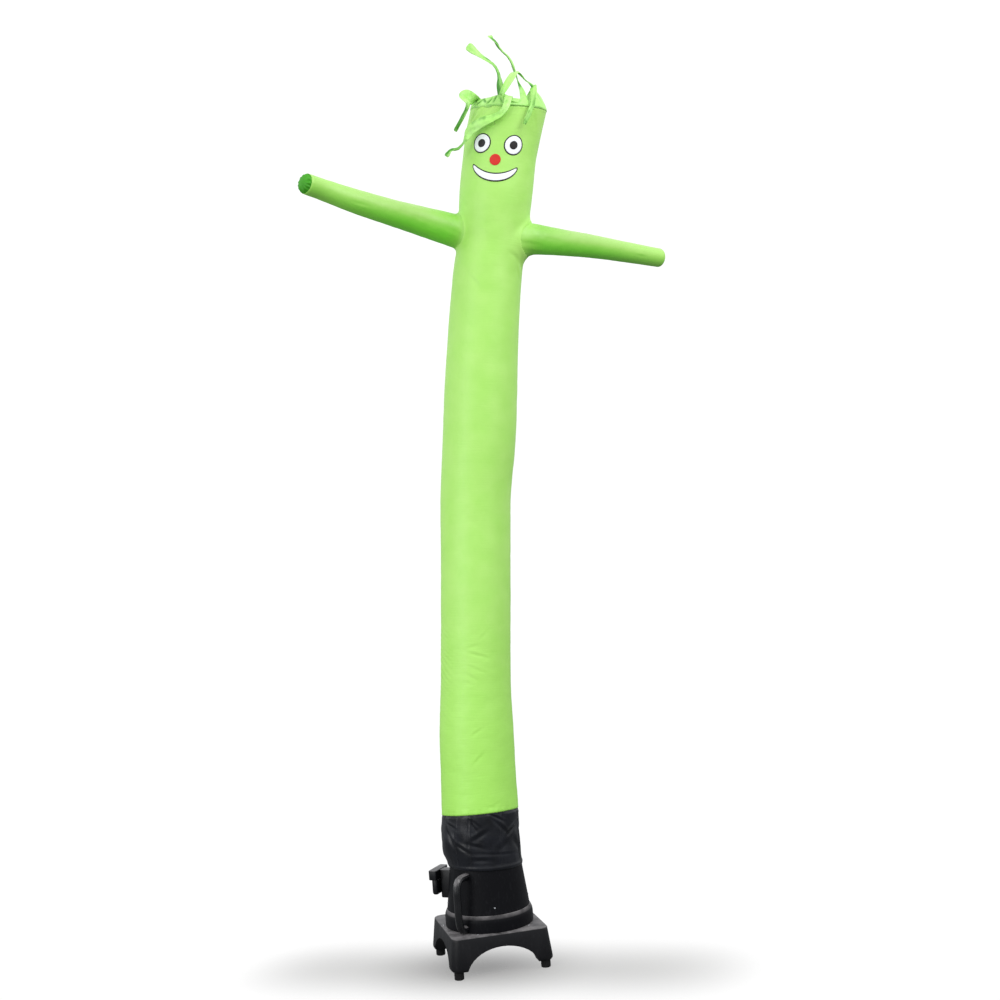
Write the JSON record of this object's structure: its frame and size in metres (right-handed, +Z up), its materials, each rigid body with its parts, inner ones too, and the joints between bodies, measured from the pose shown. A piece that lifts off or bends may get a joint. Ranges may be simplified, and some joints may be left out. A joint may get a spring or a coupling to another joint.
{
  "type": "inflatable air dancer on its floor blower",
  "caption": "Tall air-filled cloth tube dancer with tapered arms, a printed smiling face and a streamer fringe, held upright by a black cloth sleeve over a moulded floor blower.",
  "frame": {"origin": "bottom centre of the whole dancer's box, on the floor; the blower's own axis stands at x -0.328, y -0.056", "axes": "+Z up, the dancer faces -Y, +X to the right as seen from the front"},
  "size_m": [2.2336, 1.2397, 5.6511],
  "materials": {
    "lime_cloth": "matte coated nylon, lime green",
    "fringe_cloth": "matte coated nylon, light lime green",
    "black_cloth": "matte coated nylon, black",
    "black_plastic": "moulded, satin, black",
    "black_rubber": "matte, black"
  },
  "bodies": {
    "root": {"arm_left": "lime_cloth", "arm_left_end": "lime_cloth", "arm_right": "lime_cloth", "arm_right_end": "lime_cloth", "base_sleeve": "black_cloth", "blower_barrel": "black_plastic", "blower_base": "black_plastic", "blower_flange": "black_plastic", "body_tube": "lime_cloth", "crown_panel": "lime_cloth", "foot_back_left": "black_rubber", "foot_back_right": "black_rubber", "foot_front_left": "black_rubber", "foot_front_right": "black_rubber", "handle": "black_plastic", "head_fringe": "fringe_cloth", "switch_box_bracket": "black_plastic", "switch_box_case": "black_plastic", "switch_box_hood": "black_plastic"}
  },
  "joints": []
}
